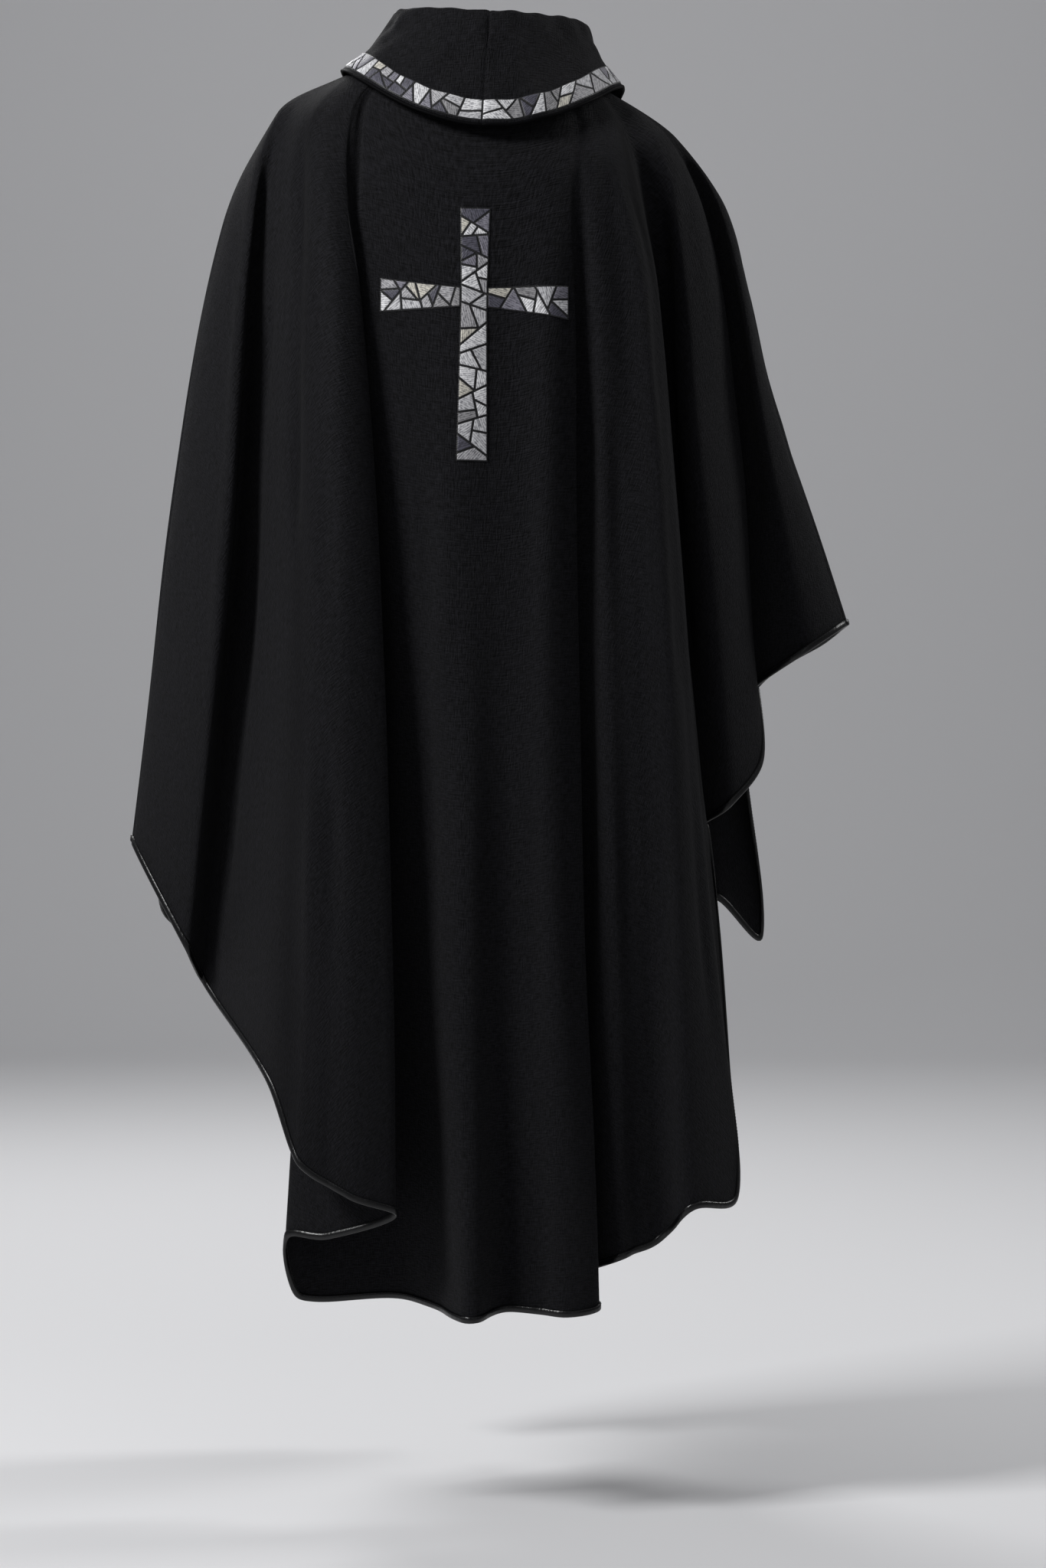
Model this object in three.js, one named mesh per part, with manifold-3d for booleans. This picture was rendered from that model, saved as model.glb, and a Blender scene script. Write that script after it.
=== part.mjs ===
// A black chasuble, hollow as it is worn, seen best from behind. Millimetres, +Z up.
// The front faces -Y and the back +Y. The origin is the middle of the neck opening, where the garment is held.
// Every fold of the cloth is one row of a table: where it leaves the neck, where it is at half its fall,
// and where it meets the hem. The cloth is one closed ring of these folds, cut in two at the shoulder seams.
import * as THREE from 'three';
import Module from 'manifold-3d';

const kernel = await Module();
kernel.setup();
const { CrossSection, Manifold, Mesh } = kernel;

// Cloth walls and the gaps between the sewn pieces.
const BODY_WALL = 2;
const COLLAR_WALL = 2.4;
const SEAM_GAP = 0.3;
const TRIM_WALL = 1;
const END_GAP = 1.2; // how far a binding stops short of the end of its edge
const TOUCH = 0.03; // what a binding is cleared by, short of its own inner face

// The neck seam, and the edge of the shoulders where the cloth turns down.
const NECK = { half: 90, back: 80, front: 92, zBack: 6, zSide: 38, zFront: -46 };
const SHOULDER = { half: 213, back: 138, front: 128, zBack: -112, zSide: -27, zFront: -125 };
const YOKE_RISE = 8;
const SPLAY = { neck: 10, yoke: 14 };
const LEAN = 0.06; // the left shoulder is held a little higher than the right

// How a fold bows out over the upper arm between the shoulder and half its fall.
const BOW = { out: 0.56, down: 0.3 };

// How far the left pleat's bows are drawn together, since its tuck is still shallow there (x, y).
const BOW_SHIFT = {
  'left pleat outer fold': [5, -2],
  'left pleat underside': [-2, 9],
  'left pleat inner fold': [-12, 13],
  'left pleat return': [-12, 17],
  'under the left pleat': [0, 18],
  'left centre valley': [6, 4],
};

// turn is the angle round the neck from the centre back, lift how far the fold stands up at the shoulder,
// half where it is at half its fall (x, y), hem where it ends (x, y, z).
const BACK_FOLDS = [
  { name: 'left shoulder seam', turn: 90, lift: 0, half: [325, 5], hem: [372, 10, -802] },
  { name: 'left wing crest', turn: 82, lift: 3, half: [263, 96], hem: [308, 92, -912] },
  { name: 'left wing valley', turn: 74, lift: -4, half: [253, 56], hem: [288, 62, -957] },
  { name: 'left lobe side', turn: 58, lift: 2, half: [197, 144], hem: [216, 178, -1044] },
  { name: 'left lobe middle', turn: 52, lift: 5, half: [171, 167], hem: [180, 214, -1127] },
  { name: 'left lobe crest', turn: 45, lift: 8, half: [132, 190], hem: [128, 235, -1163] },
  { name: 'left pleat outer fold', turn: 39, lift: 6, half: [94, 172], hem: [80, 215, -1184] },
  { name: 'left pleat underside', turn: 38, lift: 1, half: [122, 146], hem: [152, 185, -1210] },
  { name: 'left pleat inner fold', turn: 37, lift: -4, half: [158, 131], hem: [197, 161, -1213] },
  { name: 'left pleat return', turn: 36, lift: -5, half: [156, 117], hem: [191, 134, -1270] },
  { name: 'under the left pleat', turn: 33, lift: -3, half: [120, 112], hem: [168, 124, -1283] },
  { name: 'left centre valley', turn: 22, lift: 0, half: [76, 144], hem: [78, 124, -1280] },
  { name: 'centre crest', turn: 4, lift: 0, half: [20, 178], hem: [8, 215, -1293] },
  { name: 'centre hollow', turn: -10, lift: 0, half: [-34, 166], hem: [-34, 180, -1286] },
  { name: 'right centre crest', turn: -21, lift: 1, half: [-77, 176], hem: [-96, 200, -1289] },
  { name: 'right pleat outer fold', turn: -27, lift: 0, half: [-110, 150], hem: [-130, 178, -1283] },
  { name: 'right pleat inner fold', turn: -30, lift: -2, half: [-97, 136], hem: [-92, 140, -1270] },
  { name: 'right pleat return', turn: -32, lift: -3, half: [-111, 129], hem: [-106, 124, -1256] },
  { name: 'right lobe first crest', turn: -35, lift: 1, half: [-139, 154], hem: [-152, 160, -1235] },
  { name: 'right lobe hollow', turn: -40, lift: 1, half: [-176, 146], hem: [-193, 140, -1219] },
  { name: 'right lobe second crest', turn: -43, lift: 3, half: [-207, 150], hem: [-228, 165, -1182] },
  { name: 'right lobe corner', turn: -46, lift: 4, half: [-225, 122], hem: [-275, 120, -1175] },
  { name: 'right edge low', turn: -48, lift: 3, half: [-219, 102], hem: [-268, 100, -1050] },
  { name: 'right edge middle', turn: -50, lift: 0, half: [-212, 84], hem: [-259, 85, -902] },
  { name: 'right edge high', turn: -53, lift: -5, half: [-207, 66], hem: [-248, 75, -799] },
  { name: 'under the right edge', turn: -57, lift: -8, half: [-206, 40], hem: [-241, 45, -785] },
  { name: 'right arm fold crest', turn: -65, lift: 3, half: [-233, 78], hem: [-273, 60, -762] },
  { name: 'right arm fold corner', turn: -73, lift: 2, half: [-260, 58], hem: [-309, 30, -716] },
  { name: 'right arm fold top', turn: -78, lift: -3, half: [-281, 20], hem: [-307, 0, -646] },
  { name: 'right arm valley', turn: -81, lift: -4, half: [-284, -4], hem: [-304, -15, -633] },
  { name: 'right wing crest', turn: -86, lift: 3, half: [-304, 24], hem: [-353, 10, -599] },
  { name: 'right shoulder seam', turn: -90, lift: 0, half: [-319, -10], hem: [-403, -30, -566] },
];
const FRONT_FOLDS = [
  { name: 'right cuff crest', turn: -97, lift: 2, half: [-312, -62], hem: [-388, -85, -580] },
  { name: 'right cuff valley', turn: -104, lift: -3, half: [-264, -78], hem: [-298, -102, -658] },
  { name: 'right lappet tip', turn: -111, lift: 3, half: [-252, -118], hem: [-318, -134, -909] },
  { name: 'right lappet valley', turn: -118, lift: -3, half: [-216, -118], hem: [-262, -112, -868] },
  { name: 'right front crest', turn: -126, lift: 4, half: [-220, -168], hem: [-242, -182, -968] },
  { name: 'right front valley', turn: -134, lift: -3, half: [-174, -162], hem: [-203, -158, -1058] },
  { name: 'right chest crest', turn: -143, lift: 3, half: [-135, -222], hem: [-173, -248, -1190] },
  { name: 'right chest valley', turn: -152, lift: -2, half: [-91, -205], hem: [-111, -205, -1247] },
  { name: 'right middle crest', turn: -162, lift: 2, half: [-48, -245], hem: [-68, -280, -1299] },
  { name: 'front middle valley', turn: -172, lift: 0, half: [-8, -222], hem: [-11, -225, -1295] },
  { name: 'left middle crest', turn: -182, lift: 2, half: [36, -248], hem: [47, -285, -1305] },
  { name: 'left middle valley', turn: -192, lift: -1, half: [72, -215], hem: [96, -215, -1285] },
  { name: 'left chest crest', turn: -203, lift: 3, half: [114, -232], hem: [146, -258, -1266] },
  { name: 'left chest valley', turn: -213, lift: -2, half: [150, -185], hem: [170, -190, -1222] },
  { name: 'left front crest', turn: -222, lift: 4, half: [174, -196], hem: [206, -214, -1146] },
  { name: 'left front valley', turn: -231, lift: -3, half: [192, -142], hem: [216, -148, -1072] },
  { name: 'left side crest', turn: -239, lift: 3, half: [228, -142], hem: [252, -156, -990] },
  { name: 'left side valley', turn: -247, lift: -3, half: [250, -88], hem: [272, -90, -930] },
  { name: 'left cuff crest', turn: -255, lift: 3, half: [307, -82], hem: [344, -94, -888] },
  { name: 'left cuff valley', turn: -262, lift: -3, half: [312, -40], hem: [352, -42, -838] },
];

// The collar stands up from the neck seam, turns over and falls outside. Each row is one line round it,
// and shift is how far it sits off the neck's middle.
const COLLAR_LINES = [
  { name: 'neck seam', shift: 0, half: 87.5, back: 77.2, front: 89.4, zBack: 4, zSide: 36, zFront: -48 },
  { name: 'stand', shift: -6, half: 92, back: 75, front: 90, zBack: 44, zSide: 62, zFront: -12 },
  { name: 'inside the roll', shift: -12, half: 97, back: 77, front: 96, zBack: 74, zSide: 80, zFront: 16 },
  { name: 'roll', shift: -15, half: 104, back: 82, front: 102, zBack: 82, zSide: 87, zFront: 22 },
  { name: 'upper fall', shift: -13, half: 115, back: 91, front: 112, zBack: 56, zSide: 65, zFront: -8 },
  { name: 'middle fall', shift: -10, half: 130, back: 107, front: 128, zBack: 10, zSide: 44, zFront: -54 },
  { name: 'collar edge', shift: -7, half: 153, back: 129, front: 150, zBack: -47, zSide: 23, zFront: -114 },
];

const HEM_BIND = { depth: 7, wall: 0.8 };
const COLLAR_BIND = { depth: 3.6, wall: 0.8 };
const BAND = { width: 25, above: 5.5 };

// The cross on the back, its arms a little wider at their ends.
const CROSS = {
  x: 0.5, z: -231, tilt: 0.8, armTilt: 1.8,
  up: 95, down: 172, arm: 99,
  stemTop: 32, stemWaist: 28, stemFoot: 33, armWaist: 21, armTip: 36,
};

// How finely the walls are cut into facets.
const PER_BACK_FOLD = 3;
const PER_FRONT_FOLD = 3;
const ROWS = [0, 0.06, 0.13, 0.2, 0.28, 0.38, 0.48, 0.58, 0.69, 0.8, 0.9, 1];
const RIB_KNOTS = [0, 0.06, 0.13, 0.28, 0.58, 1];
const COLLAR_STEPS = 20;
const COLLAR_ROWS = 10;
const BAND_ROWS = [BAND.above + BAND.width, BAND.above + BAND.width / 2, BAND.above];

const vec = (x, y, z) => new THREE.Vector3(x, y, z);
const mix = (a, b, t) => a + (b - a) * t;

// A smooth curve through points at rising knots.
function through(knots, points, t) {
  const last = knots.length - 1;
  let i = 0;
  while (i < last - 1 && t > knots[i + 1]) i += 1;
  const slope = (k) => {
    const a = Math.max(k - 1, 0);
    const b = Math.min(k + 1, last);
    return points[b].clone().sub(points[a]).divideScalar(knots[b] - knots[a]);
  };
  const span = knots[i + 1] - knots[i];
  const s = (t - knots[i]) / span;
  const hermite = [
    2 * s ** 3 - 3 * s ** 2 + 1,
    (s ** 3 - 2 * s ** 2 + s) * span,
    3 * s ** 2 - 2 * s ** 3,
    (s ** 3 - s ** 2) * span,
  ];
  return points[i].clone().multiplyScalar(hermite[0])
    .addScaledVector(slope(i), hermite[1])
    .addScaledVector(points[i + 1], hermite[2])
    .addScaledVector(slope(i + 1), hermite[3]);
}

// A point on an oval line round the neck, at an angle from the centre back.
function roundNeck(line, turn, out = 0) {
  const a = THREE.MathUtils.degToRad(turn);
  const c = Math.cos(a);
  const depth = c > 0 ? line.back : line.front;
  const zEnd = c > 0 ? line.zBack : line.zFront;
  const x = (line.half + out) * Math.sin(a);
  return vec(x, (depth + out) * c, mix(line.zSide, zEnd, c * c) + LEAN * x);
}

// The six points that a fold runs through, from the neck seam to the hem.
function rib(fold) {
  const spread = Math.sin(THREE.MathUtils.degToRad(2 * fold.turn));
  const yokeTurn = fold.turn + SPLAY.yoke * spread;
  const neck = roundNeck(NECK, fold.turn + SPLAY.neck * spread);
  const yoke = roundNeck(NECK, yokeTurn).lerp(roundNeck(SHOULDER, yokeTurn, fold.lift), 0.5)
    .add(vec(0, 0, YOKE_RISE));
  const shoulder = roundNeck(SHOULDER, fold.turn, fold.lift);
  const hem = vec(...fold.hem);
  const half = vec(...fold.half, (shoulder.z + hem.z) / 2);
  const bow = vec(
    mix(shoulder.x, half.x, BOW.out),
    mix(shoulder.y, half.y, BOW.out),
    mix(shoulder.z, half.z, BOW.down),
  ).add(vec(...(BOW_SHIFT[fold.name] ?? [0, 0]), 0));
  return [neck, yoke, shoulder, bow, half, hem];
}

// The whole ring of folds, closed, with a knot for each one spaced by how far it is from the last.
const ribs = [...BACK_FOLDS, ...FRONT_FOLDS].map(rib);
const HALF_POINT = 4;
const HEM_POINT = 5;
const ribKnots = [0];
for (let i = 0; i < ribs.length; i += 1) {
  const a = ribs[i];
  const b = ribs[(i + 1) % ribs.length];
  const apart = (a[HALF_POINT].distanceTo(b[HALF_POINT]) + a[HEM_POINT].distanceTo(b[HEM_POINT])) / 2;
  ribKnots.push(ribKnots[i] + Math.sqrt(apart));
}
const ROUND = ribKnots[ribs.length];
const SEAM_LEFT = 0;
const SEAM_RIGHT = ribKnots[BACK_FOLDS.length - 1];

// A point of the cloth's middle surface: u round the ring, v down each fold.
function cloth(u, v) {
  const wrapped = ((u % ROUND) + ROUND) % ROUND;
  let i = 0;
  while (wrapped > ribKnots[i + 1]) i += 1;
  const knots = [];
  const points = [];
  for (let k = -1; k <= 2; k += 1) {
    const n = i + k;
    const turn = Math.floor(n / ribs.length);
    const own = n - turn * ribs.length;
    knots.push(ribKnots[own] + turn * ROUND);
    points.push(through(RIB_KNOTS, ribs[own], v));
  }
  return through(knots, points, wrapped);
}

// A grid of points with each one's normal, the mean of the facets round it. side is 1 or -1.
function faced(points, side) {
  const lastI = points.length - 1;
  const lastJ = points[0].length - 1;
  const at = (i, j) => (i < 0 || j < 0 || i > lastI || j > lastJ ? null : points[i][j]);
  return points.map((row, i) => row.map((own, j) => {
    const out = vec(0, 0, 0);
    for (const [di, dj] of [[1, 1], [-1, 1], [-1, -1], [1, -1]]) {
      const across = at(i + di, j);
      const down = at(i, j + dj);
      if (!across || !down) continue;
      const face = down.clone().sub(own).cross(across.clone().sub(own)).multiplyScalar(di * dj * side);
      out.add(face.normalize());
    }
    return { at: own, out: out.normalize() };
  }));
}

// A closed solid over sections with the same number of points, capped at both ends. Where a section
// rises, its facets are split the other way, so that walls lying on each other have the same facets.
function loft(sections, capFaces, rises) {
  const count = sections[0].length;
  const index = [];
  for (let i = 0; i + 1 < sections.length; i += 1) {
    for (let j = 0; j < count; j += 1) {
      const a = i * count + j;
      const b = i * count + (j + 1) % count;
      if (rises(j)) index.push(a, b, a + count, b, b + count, a + count);
      else index.push(a, b, b + count, a, b + count, a + count);
    }
  }
  const end = (sections.length - 1) * count;
  for (const [a, b, c] of capFaces) {
    index.push(c, b, a, a + end, b + end, c + end);
  }
  return solid(sections.flat(), index);
}

// A geometry from points and triangles, turned inside out if its volume comes out negative.
function solid(points, index) {
  let volume = 0;
  for (let i = 0; i < index.length; i += 3) {
    const [a, b, c] = [points[index[i]], points[index[i + 1]], points[index[i + 2]]];
    volume += a.dot(b.clone().cross(c));
  }
  if (volume < 0) index.reverse();
  const geometry = new THREE.BufferGeometry();
  geometry.setAttribute('position', new THREE.Float32BufferAttribute(points.flatMap((p) => p.toArray()), 3));
  geometry.setIndex(index);
  geometry.computeVertexNormals();
  return geometry;
}

// The same solid for the cutting kernel, and back.
function kernelSolid(geometry) {
  return new Manifold(new Mesh({
    numProp: 3,
    vertProperties: geometry.getAttribute('position').array,
    triVerts: new Uint32Array(geometry.index.array),
  }));
}

function fromKernel(body) {
  const cut = body.getMesh();
  const geometry = new THREE.BufferGeometry();
  geometry.setAttribute('position', new THREE.BufferAttribute(cut.vertProperties, 3));
  geometry.setIndex(new THREE.BufferAttribute(cut.triVerts, 1));
  geometry.computeVertexNormals();
  return geometry;
}

// A strip section's caps: its two sides are joined row by row.
function stripCap(rows) {
  const faces = [];
  for (let j = 0; j + 1 < rows; j += 1) {
    const far = 2 * rows - 1 - j;
    faces.push([j, j + 1, far - 1], [j, far - 1, far]);
  }
  return faces;
}

// A wall from a grid of middle points and normals, between two offsets from the middle.
function wall(grid, from, to) {
  const sections = grid.map((row) => [
    ...row.map(({ at, out }) => at.clone().addScaledVector(out, to)),
    ...row.map(({ at, out }) => at.clone().addScaledVector(out, from)).reverse(),
  ]);
  const rows = grid[0].length;
  return loft(sections, stripCap(rows), (j) => j >= rows);
}

// The fold lines and the lines between them, with each seam edge drawn back by half the seam gap.
function clothStations(first, last, perFold) {
  const list = [];
  for (let i = first; i < last; i += 1) {
    const a = ribKnots[i];
    const b = i + 1 === ribKnots.length ? ROUND : ribKnots[i + 1];
    for (let k = 0; k < perFold; k += 1) list.push(mix(a, b, k / perFold));
  }
  list.push(last === ribKnots.length ? ROUND : ribKnots[last]);
  return list;
}

// A row put in at a given distance from a grid's edge, where its binding begins. The distance is square
// to the edge, so it's longer along a row that meets the edge at a slant. Each edge point keeps that square
// direction for the binding.
const STEEPEST = 0.3;
function withBindingRow(points, side, depth) {
  const grid = faced(points, side);
  const last = grid[0].length - 1;
  const falls = grid.map((row) => row[last].at.clone().sub(row[last - 1].at));
  const squares = grid.map((row, i) => {
    const ahead = grid[Math.min(i + 1, grid.length - 1)][last].at;
    const behind = grid[Math.max(i - 1, 0)][last].at;
    return ahead.clone().sub(behind).cross(row[last].out).normalize();
  });
  const sign = Math.sign(squares.reduce((sum, square, i) => sum + square.dot(falls[i]), 0));
  const downs = squares.map((square) => square.multiplyScalar(sign));
  const withStart = points.map((row, i) => {
    const part = depth / Math.max(falls[i].dot(downs[i]), STEEPEST * falls[i].length());
    return [...row.slice(0, -1), row[last].clone().lerp(row[last - 1], part), row[last]];
  });
  const result = faced(withStart, side);
  result.forEach((row, i) => { row[last + 1].down = downs[i]; });
  return result;
}

function clothGrid(stations) {
  const count = stations.length;
  const beyond = [2 * stations[0] - stations[1], 2 * stations[count - 1] - stations[count - 2]];
  const points = [beyond[0], ...stations, beyond[1]].map((u, i) => ROWS.map((v) => {
    const inward = i === 1 ? 1 : i === count ? -1 : 0;
    const along = cloth(u + 0.02, v).sub(cloth(u - 0.02, v)).normalize();
    return cloth(u, v).addScaledVector(along, inward * SEAM_GAP / 2);
  }));
  return withBindingRow(points, 1, HEM_BIND.depth).slice(1, -1);
}

// A binding folded round the last row of a wall: down its outside, under its edge and up its inside.
function binding(grid, wallThickness, size) {
  const near = wallThickness / 2 + SEAM_GAP;
  const far = near + size.wall;
  const last = grid[0].length - 1;
  const ends = [0, grid.length - 1];
  const drawnBack = (i, j) => {
    const own = grid[i][j];
    if (!ends.includes(i)) return own;
    const next = grid[i === 0 ? 1 : i - 1][j].at;
    return { ...own, at: own.at.clone().lerp(next, END_GAP / own.at.distanceTo(next)) };
  };
  const sections = grid.map((_, i) => {
    const edge = drawnBack(i, last);
    const { at, out } = drawnBack(i, last - 1);
    const { down } = edge;
    const place = (base, normal, side, drop) => base.clone()
      .addScaledVector(normal, side).addScaledVector(down, drop);
    return [
      place(at, out, far, 0),
      place(edge.at, edge.out, far, SEAM_GAP + size.wall),
      place(edge.at, edge.out, -far, SEAM_GAP + size.wall),
      place(at, out, -far, 0),
      place(at, out, -near, 0),
      place(edge.at, edge.out, -near, SEAM_GAP),
      place(edge.at, edge.out, near, SEAM_GAP),
      place(at, out, near, 0),
    ];
  });
  const caps = [[0, 1, 6], [0, 6, 7], [1, 2, 5], [1, 5, 6], [2, 3, 4], [2, 4, 5]];
  const strip = kernelSolid(loft(sections, caps, (j) => j === 2 || j === 6));
  const cleared = strip.subtract(kernelSolid(wall(grid, TOUCH - near, near - TOUCH)));
  return fromKernel(cleared.decompose().sort((a, b) => b.volume() - a.volume())[0]);
}

// A point of the collar: turn round the neck, p from the neck seam over the roll to the edge.
const collarKnots = COLLAR_LINES.map((line, i) => i / (COLLAR_LINES.length - 1));
function collarPoint(turn, p) {
  const points = COLLAR_LINES.map((line) => roundNeck(line, turn).add(vec(line.shift, 0, 0)));
  return through(collarKnots, points, p);
}

// The row of the collar that lies a given length above its edge.
function collarRowAbove(turn, length) {
  const edge = collarPoint(turn, 1);
  let p = 1;
  while (collarPoint(turn, p).distanceTo(edge) < length) p -= 0.002;
  return p;
}

// The collar's rows: even ones down to the band, then the band's own rows, then the edge.
function collarRows(turn) {
  const band = BAND_ROWS.map((length) => collarRowAbove(turn, length));
  const upper = Array.from({ length: COLLAR_ROWS - 1 }, (_, i) => mix(0, band[0], i / (COLLAR_ROWS - 1)));
  return [...upper, ...band, 1];
}

function collarGrid(fromTurn, toTurn) {
  const list = [];
  for (let i = 0; i <= COLLAR_STEPS; i += 1) {
    const turn = mix(fromTurn, toTurn, i / COLLAR_STEPS);
    const end = i === 0 ? 1 : i === COLLAR_STEPS ? -1 : 0;
    list.push(collarRows(turn).map((p) => {
      const step = 0.5 * Math.sign(toTurn - fromTurn);
      const along = collarPoint(turn + step, p).sub(collarPoint(turn - step, p)).normalize();
      return collarPoint(turn, p).addScaledVector(along, end * SEAM_GAP / 2);
    }));
  }
  return withBindingRow(list, -Math.sign(toTurn - fromTurn), COLLAR_BIND.depth);
}

// The cross: a layer of the back's own facets moved out, cut to the cross's outline.
function cross(grid) {
  const c = CROSS;
  const rise = c.arm * Math.tan(THREE.MathUtils.degToRad(c.armTilt));
  const outline = [
    [c.stemTop / 2, c.up], [c.stemWaist / 2, c.armWaist / 2], [c.arm, rise + c.armTip / 2],
    [c.arm, rise - c.armTip / 2], [c.stemWaist / 2, -c.armWaist / 2], [c.stemFoot / 2, -c.down],
    [-c.stemFoot / 2, -c.down], [-c.stemWaist / 2, -c.armWaist / 2], [-c.arm, -rise - c.armTip / 2],
    [-c.arm, -rise + c.armTip / 2], [-c.stemWaist / 2, c.armWaist / 2], [-c.stemTop / 2, c.up],
  ].reverse();
  const depth = 400;
  const prism = new CrossSection([outline]).rotate(c.tilt).translate([c.x, c.z])
    .extrude(depth).rotate([90, 0, 0]).translate([0, depth, 0]);
  const near = BODY_WALL / 2 + SEAM_GAP;
  return fromKernel(kernelSolid(wall(grid, near, near + TRIM_WALL)).intersect(prism));
}

// Finishes.
const wool = new THREE.MeshStandardMaterial({ color: 0x17171a, roughness: 0.95, metalness: 0 });
const satin = new THREE.MeshStandardMaterial({ color: 0x0c0c0e, roughness: 0.35, metalness: 0 });
const embroidery = new THREE.MeshStandardMaterial({ color: 0x9b9a9c, roughness: 0.6, metalness: 0 });

const chasuble = new THREE.Group();
function add(name, geometry, material) {
  const mesh = new THREE.Mesh(geometry, material);
  mesh.name = name;
  chasuble.add(mesh);
}

// The two body panels and the satin binding on their hems.
const backGrid = clothGrid(clothStations(0, BACK_FOLDS.length - 1, PER_BACK_FOLD));
const frontGrid = clothGrid(clothStations(BACK_FOLDS.length - 1, ribs.length, PER_FRONT_FOLD));
add('back_panel', wall(backGrid, -BODY_WALL / 2, BODY_WALL / 2), wool);
add('front_panel', wall(frontGrid, -BODY_WALL / 2, BODY_WALL / 2), wool);
add('hem_binding_back', binding(backGrid, BODY_WALL, HEM_BIND), satin);
add('hem_binding_front', binding(frontGrid, BODY_WALL, HEM_BIND), satin);

// The collar in two halves, each with its embroidered band and its bound edge.
const bandNear = COLLAR_WALL / 2 + SEAM_GAP;
for (const [side, centreFront] of [['left', 180], ['right', -180]]) {
  const whole = collarGrid(0, centreFront);
  const band = whole.map((row) => row.slice(COLLAR_ROWS - 1, COLLAR_ROWS + 2));
  add(`collar_${side}`, wall(whole, -COLLAR_WALL / 2, COLLAR_WALL / 2), wool);
  add(`collar_band_${side}`, wall(band, bandNear, bandNear + TRIM_WALL), embroidery);
  add(`collar_binding_${side}`, binding(whole, COLLAR_WALL, COLLAR_BIND), satin);
}

add('back_cross', cross(backGrid), embroidery);

export default chasuble;
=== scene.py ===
import math
import random

import bpy
import numpy as np
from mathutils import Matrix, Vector
from mathutils.bvhtree import BVHTree


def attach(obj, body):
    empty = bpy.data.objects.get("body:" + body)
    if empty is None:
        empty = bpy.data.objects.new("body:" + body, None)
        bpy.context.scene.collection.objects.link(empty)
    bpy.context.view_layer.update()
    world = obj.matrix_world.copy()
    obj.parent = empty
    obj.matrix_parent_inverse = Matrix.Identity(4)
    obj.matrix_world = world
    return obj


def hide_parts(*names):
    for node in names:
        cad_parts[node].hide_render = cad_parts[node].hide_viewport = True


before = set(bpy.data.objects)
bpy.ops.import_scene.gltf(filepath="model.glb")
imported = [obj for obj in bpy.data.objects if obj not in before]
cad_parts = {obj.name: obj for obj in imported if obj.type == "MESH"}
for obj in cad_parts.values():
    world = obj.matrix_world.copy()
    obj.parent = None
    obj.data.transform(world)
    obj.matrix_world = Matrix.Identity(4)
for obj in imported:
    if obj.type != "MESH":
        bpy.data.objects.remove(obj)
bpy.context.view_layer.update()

MM = 0.001

# The neck seam, and the edge of the shoulders where the cloth turns down.
NECK = dict(half=90, back=80, front=92, z_back=6, z_side=38, z_front=-46)
SHOULDER = dict(half=213, back=138, front=128, z_back=-112, z_side=-27, z_front=-125)
YOKE_RISE = 8
SPLAY_NECK = 10
SPLAY_YOKE = 14
LEAN = 0.06

# How a fold bows out between the shoulder and half its fall, and how far the left pleat's bows are drawn
# together there (x, y, z).
BOW_OUT = 0.56
BOW_DOWN = 0.3
BOW_SHIFT = {
    "left pleat outer fold": (5, -2, 0),
    "left pleat underside": (-2, 9, 0),
    "left pleat inner fold": (-12, 13, 0),
    "left pleat return": (-12, 17, 0),
    "under the left pleat": (0, 18, 0),
    "left centre valley": (6, 4, 0),
}

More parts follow.
